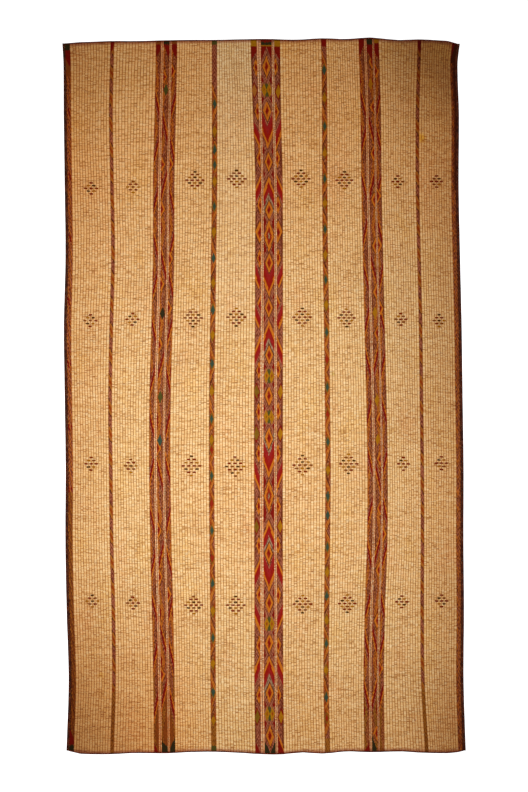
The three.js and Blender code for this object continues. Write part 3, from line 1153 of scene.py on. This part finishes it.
# Each row: the open space, the reed column that the diamonds stand on, dashes in the widest row,
# and where its four diamonds are along the mat, in millimetres.
FIELD_DIAMONDS = (
    (0, 7.0, 3, (1515, 550, -495, -1497)),
    (1, 7.0, 3, (1525, 560, -510, -1511)),
    (4, 7.7, 4, (1575, 570, -510, -1526)),
    (5, 7.3, 4, (1585, 575, -515, -1526)),
    (8, 7.0, 4, (1585, 575, -505, -1519)),
    (9, 7.0, 4, (1575, 570, -495, -1515)),
    (12, 6.8, 3, (1565, 560, -495, -1502)),
    (13, 7.0, 3, (1565, 550, -490, -1496)),
)

# How far apart the rows of dashes are in each of the four, and how high a dash lies.
DASH_ROW_PITCH = (0.0203, 0.0212, 0.0232, 0.0210)
DASH_BED = 0.0041

# The share of dashes that are brown instead of their row's dye.
BROWN_DASHES = 0.12


def spot_in_space(space, share, y):
    """The x at a share of the way across one open space, level with y."""
    x = across_space(space, (y + 0.5 * MAT_LENGTH) / MAT_LENGTH, share)
    return across_space(space, along_at(x, y), share)


def dash_places(chance):
    """Dashes in every other reed column: red rows, and between them rows of dark and gold in turn."""
    points, lights = [], []
    for number, column, widest, places in FIELD_DIAMONDS:
        space = SPACES[number]
        for level, place in enumerate(places):
            flip, odd = (chance.random(2) < (0.4, 0.2)).astype(int)
            for row in range(1 - widest, widest):
                count = widest - abs(row)
                y = place / 1000.0 - row * DASH_ROW_PITCH[level]
                for spot in range(count):
                    share = (column + 2 * spot + 1 - count) / space[2]
                    x = float(spot_in_space(space, share, y))
                    turn = spot + int(row > 0) + abs(row) // 2 + flip
                    name = "dash red" if row % 2 == odd else ("dash dark", "dash gold")[turn % 2]
                    if chance.random() < BROWN_DASHES:
                        name = "brown"
                    points.append((x, y, DASH_BED + float(lift(x, y))))
                    lights.append(DYE_LIGHT[dye(name), 0])
    return points, lights


def make_field_diamonds(tree, shape):
    """The small diamonds, laid as one piece."""
    points, lights = dash_places(np.random.default_rng(SEED + 7))
    mesh = shape_mesh("diamond_places", points, [])
    put(mesh, "dye", "FLOAT_COLOR", "POINT", np.array(lights))
    values = {"Shape": shape, "Width": 0.0255, "Length": 0.0125, "Height": 0.0011}
    values.update({"Spread": 0.08, "Seed": 3, "Finish": dyed_leather})
    made = lay("field_diamonds", mesh, tree, values)
    map_group(made, "border_band_left", "border_band_right", folds=4)
    return made


# ---------------------------------------------------------------- folded leather edges


def fold_profile(reach):
    """The leather's outline across the edge, as inset and height, from its lower lip to its upper lip."""
    top, skin = EDGE_TOP, LEATHER
    outside = [(reach, 0.0), (0.5 * reach, 0.0), (0.0022, 0.0), (0.0007, 0.0004), (0.0001, 0.0014)]
    outside += [(0.0, 0.0028), (0.0001, 0.0042), (0.0007, 0.0051), (0.0022, top)]
    outside += [(0.4 * reach, top + 0.0001), (0.72 * reach, top), (reach - 0.0004, top - 0.0001)]
    lip = [(reach, top - 0.0005), (reach - 0.0002, top - skin + 0.0002)]
    inside = [(0.6 * reach, top - skin), (0.0017, top - skin), (skin, 0.0037)]
    inside += [(skin, 0.0017), (0.0017, skin), (0.6 * reach, skin), (reach - 0.0002, skin)]
    return np.array(outside + lip + inside + [(reach, 0.0007)])


def make_edge(node, inward, reach, seed):
    """A strip of leather folded over one edge of the mat and sewn down."""
    line = outer_line(node)
    run = np.concatenate([[0.0], np.cumsum(np.hypot(*np.diff(line, axis=0).T))])
    profile = fold_profile(reach)
    count = len(profile)
    inset = np.tile(profile[:, 0], (len(line), 1))
    height = np.tile(profile[:, 1], (len(line), 1))
    share = profile[:, 0] / reach
    inset += share**2 * 0.0008 * waver(run, seed, 0.16)[:, None]
    inset += (1.0 - share) * 0.0003 * (1.0 + waver(run, seed + 1, 0.23)[:, None])
    pucker = 0.0003 * waver(run, seed + 2, 0.05)[:, None] * np.sin(math.pi * share)
    height += np.where(profile[:, 1] > 0.005, pucker, 0.0)
    x = line[:, :1] + inward[0] * inset
    y = line[:, 1:] + inward[1] * inset
    points = np.stack([x, y, height + lift(x, y)], -1).reshape(-1, 3)
    r, c = np.meshgrid(np.arange(len(line) - 1), np.arange(count), indexing="ij")
    here, beside = r * count + c, r * count + (c + 1) % count
    quads = np.stack([here, beside, beside + count, here + count], -1).reshape(-1, 4)
    first = np.arange(count)
    caps = [first[::-1], (len(line) - 1) * count + first]
    if inward[0] > 0 or inward[1] < 0:
        quads = quads[:, ::-1]
        caps = [cap[::-1] for cap in caps]
    walls = (quads, np.full(len(quads), 4), True)
    ends = (np.concatenate(caps), [count, count], False)
    mesh = make_mesh(node + "_fold", points, [walls, ends])
    across = np.tile(np.arange(count) / (count - 1.0), len(line))
    fold_map(mesh, across, np.repeat(run / run[-1], count), folds=8)
    return add_object(node + "_fold", mesh)


def outer_line(node):
    """The outermost line of one of the mat's four edges."""
    if node.startswith("side"):
        along = np.linspace(0.0, 1.0, 401)
        x = left_of(node, along) if node.endswith("left") else right_of(node, along)
        return np.stack([x, y_at(x, along)], 1)
    low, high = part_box(node)
    x = np.linspace(low.x, high.x, 221)
    y = near_y(x) if node.endswith("near") else far_y(x)
    return np.stack([x, y], 1)


# Each row: the edge, the way in from it, how far the leather reaches, a seed, its finish slot.
EDGE_PIECES = (
    ("side_binding_left", (1.0, 0.0), SIDE_REACH, 11, "edge_leather"),
    ("side_binding_right", (-1.0, 0.0), SIDE_REACH, 21, "edge_leather"),
    ("end_binding_near", (0.0, 1.0), END_REACH, 31, "end_leather"),
    ("end_binding_far", (0.0, -1.0), END_REACH, 41, "end_leather"),
)


def make_stitches(tree, shape):
    """Small stitches in a row near the inner lip of each folded edge."""
    lines = []
    for node, inward, reach, _, _ in EDGE_PIECES:
        line = outer_line(node)[2:-2] + np.array(inward) * (reach - 0.002)
        lines.append(np.column_stack([line, EDGE_TOP + 0.0001 + lift(line[:, 0], line[:, 1])]))
    values = {"Shape": shape, "Spacing": 0.011, "Width": 0.0017, "Length": 0.0065, "Height": 0.0009}
    values.update({"Turn": 0.5 * math.pi, "Slide": 0.001, "Spread": 0.12, "Seed": 5})
    values["Finish"] = edge_leather
    made = lay("edge_stitches", line_mesh("stitch_lines", lines), tree, values)
    map_group(made, *SIDES, folds=4)
    return made


# ---------------------------------------------------------------- finishes


def shaded_and_browned(bench, colour):
    """Darkens a colour with painted shade toward the corners and ends of the mat, most at the far right,
    and browns it there.
    """
    x, y = bench.plan()
    far, near = bench.step(y, 1.7, 2.7), bench.step(y, -1.7, -2.7)
    right, left = bench.step(x, 0.4, 1.45), bench.step(x, -0.5, -1.45)
    nearer = bench.step(y, -1.1, -2.6)
    # Painted shade: how far the colour darkens toward the corners and ends, where the light falls off.
    corner_shade = far * right * 0.76 + far * left * 0.34 + nearer * left * 0.62 + near * right * 0.2
    corner_shade = corner_shade + far * 0.1 + near * 0.05 + right * (0.34 - 0.26 * bench.step(y, 0.6, -1.3))
    corner_shade = corner_shade + bench.step(x, 1.05, 1.45) * 0.2 + bench.step(x, -1.0, -1.4) * 0.12
    corner_shade = corner_shade + bench.step(y, -0.9, -1.4) * bench.step(x, 0.9, 1.4) * 0.12
    uneven = 0.75 + 0.5 * bench.streaks(1.6, 1.1, 3.0, 0.55)
    corner_shade = bench.maths("MULTIPLY", corner_shade, uneven, clamp=True)
    colour = bench.toned(colour, corner_shade, (0.42, 0.35, 0.26))
    near_left = nearer * bench.step(x, -0.25, -0.9)
    brown = bench.step(y, 0.3, 2.5) * 0.75 + near_left * 0.85 + near * (1.0 - left) * 0.4
    brown = brown + bench.step(x, 0.9, 1.5) * (0.45 + 0.4 * far) + bench.step(x, -0.9, -1.5) * 0.4
    bleached = bench.step(x, -0.37, -0.33) * bench.step(x, 0.14, 0.10)
    brown = brown * (1.0 - bleached * (0.5 + 0.45 * far))
    brown = bench.maths("MULTIPLY", brown, uneven, clamp=True)
    return bench.toned(colour, brown, (1.0, 0.79, 0.58))


# Stains on the reeds: where in metres, how wide, the tone that they give.
STAINS = (
    ((1.321, 2.540, 0.0), 0.17, (0.98, 0.98, 0.72)),
    ((1.146, 1.883, 0.0), 0.05, (1.0, 0.84, 0.06)),
    ((1.102, -2.365, 0.0), 0.012, (0.34, 0.12, 0.12)),
    ((0.504, 0.161, 0.0), 0.022, (0.86, 0.94, 0.62)),
    ((-1.190, -2.037, 0.0), 0.03, (1.0, 0.96, 0.55)),
)


def stained(bench, colour):
    """Lays the few small stains over a colour."""
    spot = bench.place()
    for middle, wide, tone in STAINS:
        away = bench.node("ShaderNodeVectorMath", {"operation": "DISTANCE"}, {0: spot, 1: middle}, "Value")
        colour = bench.toned(colour, bench.step(away, wide, 0.3 * wide) * 0.8, tone)
    return colour


def make_palm():
    """Palm reed: painted shade makes it darker beside the thongs and paler between them, painted shadow
    lies in short dark dashes between reeds, and each reed has a tone.
    """
    made, bench = start_material("palm_reed")
    column = bench.attribute("column")
    reed = bench.attribute("reed")
    banded = bench.attribute("banded")
    x, y = bench.plan()
    # Painted shadow beside each thong: the reeds darken toward the thong lines and are palest in the middle
    # of each column.
    middle = 1.0 - bench.maths("ABSOLUTE", bench.maths("FRACT", column) * 2.0 - 1.0)
    colour = bench.blend(bench.step(middle, 0.0, 0.75), tint(226, 160, 90), tint(255, 218, 160))
    # Reeds between the strips of a band: pinker in colour, and darker with painted shade between the raised
    # strips.
    colour = bench.toned(colour, banded * 0.95, (0.89, 0.65, 0.63))
    rose = bench.step(bench.streaks(0.9, 0.5, 2.0), 0.42, 0.62)
    colour = bench.toned(colour, rose * 0.5, (1.0, 0.93, 0.90))
    straw = bench.streaks(4.6, 2.2, 3.0)
    colour = bench.toned(colour, bench.step(straw, 0.5, 0.7) * 0.8, (0.98, 0.95, 0.78))
    colour = bench.toned(colour, bench.step(straw, 0.46, 0.28) * 0.8, (0.97, 0.87, 0.83))
    worn = bench.streaks(3.4, 1.7, 5.0, 0.6)
    colour = bench.toned(colour, bench.step(worn, 0.46, 0.72) * 0.35, (0.80, 0.75, 0.66))
    colour = bench.toned(colour, 0.56 * bench.cell(column, reed), (0.82, 0.74, 0.60))
    colour = bench.toned(colour, 0.8 * bench.cell(column * 0.06, reed, 17.0), (0.82, 0.75, 0.62))
    # Painted shadow in the gaps between reeds: short dark dashes, some in pairs and some in runs across the
    # columns.
    gap_shadow_tone = (0.68, 0.52, 0.33)
    dash = bench.cell(column, reed * 0.93, 5.0) < 0.14
    colour = bench.toned(colour, dash * 0.72, (0.58, 0.42, 0.24))
    pair = bench.cell(column * 0.5 + 0.5 * bench.cell(reed, 0.0, 3.0), reed, 9.0) < 0.09
    colour = bench.toned(colour, pair * 0.7, gap_shadow_tone)
    run = bench.cell(column * 0.24 + bench.cell(reed, 0.0, 4.0), reed, 13.0) < 0.07
    colour = bench.toned(colour, run * 0.55, gap_shadow_tone)
    pale = bench.cell(column, reed, 21.0) < 0.2
    colour = bench.blend(pale * 0.5, colour, tint(255, 230, 182))
    mottle = bench.streaks(7.0, 26.0, 4.0, 0.6)
    colour = bench.toned(colour, bench.step(mottle, 0.35, 0.75) * 0.6, (0.90, 0.83, 0.70))
    fibre = bench.streaks(60.0, 900.0, 3.0, 0.6)
    colour = bench.toned(colour, bench.step(fibre, 0.4, 0.75) * 0.35, (0.86, 0.79, 0.68))
    bleached = bench.step(x, -0.37, -0.33) * bench.step(x, -0.08, -0.12) * bench.step(y, 0.2, 1.0)
    colour = bench.blend(bleached * 0.12, colour, tint(255, 216, 170))
    outermost = bench.step(reed, 7.0, 2.0) + bench.step(reed, REEDS - 7.0, REEDS - 2.0)
    colour = bench.toned(colour, outermost, (0.50, 0.31, 0.33))
    rough = bench.step(fibre, 0.2, 0.8) * 0.2 + 0.55
    height = fibre + 0.5 * bench.streaks(20.0, 240.0)
    finish_surface(bench, shaded_and_browned(bench, stained(bench, colour)), rough, height, 0.0003, 0.2)
    return made


def make_thong_leather(name, dark, light):
    """Undyed leather that differs from float to float."""
    made, bench = start_material(name)
    tone = bench.attribute("tone")
    colour = bench.blend(tone, dark, light)
    grain = bench.noise(bench.place(), 700.0, 3.0)
    colour = bench.toned(colour, bench.step(grain, 0.4, 0.7) * 0.4, (0.7, 0.62, 0.52))
    finish_surface(bench, shaded_and_browned(bench, stained(bench, colour)), grain * 0.3 + 0.4, grain, 0.0002, 0.15)
    return made


def make_dyed_leather():
    """Leather in the dyes of the patterns, streaked along each thread."""
    made, bench = start_material("dyed_leather")
    colour = bench.attribute("dye", "Color")
    grain = bench.noise(bench.place(), 900.0, 3.0)
    streak = bench.streaks(420.0, 60.0, 2.0)
    shade = bench.step(streak, 0.35, 0.7) * 0.4
    colour = bench.toned(colour, shade, (0.72, 0.66, 0.62))
    finish_surface(bench, shaded_and_browned(bench, colour), grain * 0.3 + 0.5, grain + streak, 0.0003, 0.04)
    return made


def make_edge_leather(name, dark, light):
    """Patchy leather of the folded edges."""
    made, bench = start_material(name)
    patch = bench.noise(bench.place(), 26.0, 4.0, 0.6)
    grain = bench.noise(bench.place(), 800.0, 3.0)
    colour = bench.blend(bench.step(patch, 0.35, 0.7), dark, light)
    shade = bench.step(grain, 0.45, 0.7) * 0.4
    colour = bench.toned(colour, shade, (0.62, 0.58, 0.55))
    finish_surface(bench, colour, grain * 0.3 + 0.5, grain, 0.0003, 0.05)
    return made


palm = make_palm()
thong_leather = make_thong_leather("thong_leather", tint(165, 103, 42), tint(209, 145, 70))
band_thong_leather = make_thong_leather("band_thong_leather", tint(124, 68, 42), tint(156, 92, 62))
dyed_leather = make_dyed_leather()
edge_leather = make_edge_leather("edge_leather", tint(46, 16, 8), tint(94, 44, 24))
end_leather = make_edge_leather("end_leather", tint(70, 20, 8), tint(112, 42, 22))
EDGE_FINISHES = {"edge_leather": edge_leather, "end_leather": end_leather}


# ---------------------------------------------------------------- the mat put together

FLOOR_LEVEL = -0.0008

# Each row: the piece, its open spaces, the strips that its flat map runs between, its finish and width.
THONG_GROUPS = (
    ("thongs_far_left", (0, 1), "side_binding_left", "left_band_strip_1", thong_leather, 0.0038),
    ("thongs_near_left", (4, 5), "left_band_strip_1", "middle_band_strip_1", thong_leather, 0.0038),
    ("thongs_near_right", (8, 9), "middle_band_strip_1", "right_band_strip_1", thong_leather, 0.0038),
    ("thongs_far_right", (12, 13), "right_band_strip_1", "side_binding_right", thong_leather, 0.0038),
    ("thongs_in_bands", (2, 3, 6, 7, 10, 11), *SIDES, band_thong_leather, 0.0056),
)


def make_thongs(tree, shape):
    """Thongs laid along the mat in short floats, a group for each part of it."""
    made = []
    for number, (name, part, left, right, finish, width) in enumerate(THONG_GROUPS):
        lines = line_mesh(name + "_lines", thong_lines([SPACES[k] for k in part]))
        values = {"Shape": shape, "Spacing": 0.024, "Width": width, "Length": 0.0275, "Height": 0.0011}
        values.update({"Turn": 0.0, "Slide": 0.0025, "Spread": 0.12, "Seed": number, "Finish": finish})
        piece = lay(name, lines, tree, values)
        map_group(piece, left, right, folds=3)
        made.append(piece)
    return made


def in_view(bench):
    """1 for what the camera sees, straight or by a mirror or glass, and 0 for light on the mat."""
    path = bench.outputs("ShaderNodeLightPath")
    direct = path["Is Camera Ray"] + path["Is Glossy Ray"]
    return bench.maths("ADD", direct, path["Is Transmission Ray"], clamp=True)


def make_floor():
    """A plain pale floor that looks white to the camera and keeps the mat's shadow."""
    points = [(x, y, FLOOR_LEVEL) for x, y in ((-30, -30), (30, -30), (30, 30), (-30, 30))]
    mesh = shape_mesh("floor", points, [(0, 1, 2, 3)])
    floor = add_object("floor", mesh)
    made, bench = start_material("floor")
    strength = in_view(bench) * 0.85
    glow = bench.node("ShaderNodeEmission", None, {"Color": (1, 1, 1, 1), "Strength": strength})
    flat = bench.node("ShaderNodeBsdfDiffuse", None, {"Color": (0.85, 0.85, 0.85, 1)})
    both = bench.node("ShaderNodeAddShader", None, {0: glow, 1: flat})
    bench.node("ShaderNodeOutputMaterial", None, {"Surface": both})
    mesh.materials.append(made)
    return floor


def set_world():
    """White round the mat for the camera, and little light from it on the mat."""
    world = bpy.data.worlds.new("studio")
    world.use_nodes = True
    world.node_tree.nodes.clear()
    bench = Bench(world.node_tree)
    strength = in_view(bench) * 0.93 + 0.07
    white = bench.node("ShaderNodeBackground", None, {"Color": (1, 1, 1, 1), "Strength": strength})
    bench.node("ShaderNodeOutputWorld", None, {"Surface": white})
    scene.world = world


set_world()
floor = make_floor()
on_lines = lay_tree("lay_along_lines", True)
on_points = lay_tree("lay_at_points", False)
thong_float = add_object("thong_float", thong_shape())
dash_pad = add_object("dash_pad", pad_shape())

edges = {row[0]: make_edge(*row[:4]) for row in EDGE_PIECES}
thongs = make_thongs(on_lines, thong_float)
stitches = make_stitches(on_lines, thong_float)
diamonds = make_field_diamonds(on_points, dash_pad)
for shape in (thong_float, dash_pad):
    bpy.data.objects.remove(shape)

ground.data.materials.append(palm)
for strip in strips.values():
    strip.data.materials.append(dyed_leather)
for node, _, _, _, slot in EDGE_PIECES:
    edges[node].data.materials.append(EDGE_FINISHES[slot])

for piece in [ground, stitches, diamonds, *thongs, *strips.values(), *edges.values()]:
    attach(piece, "root")
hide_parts("mat_ground")
for name, strip in strips.items():
    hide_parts(name)
for node, _, _, _, slot in EDGE_PIECES:
    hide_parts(node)
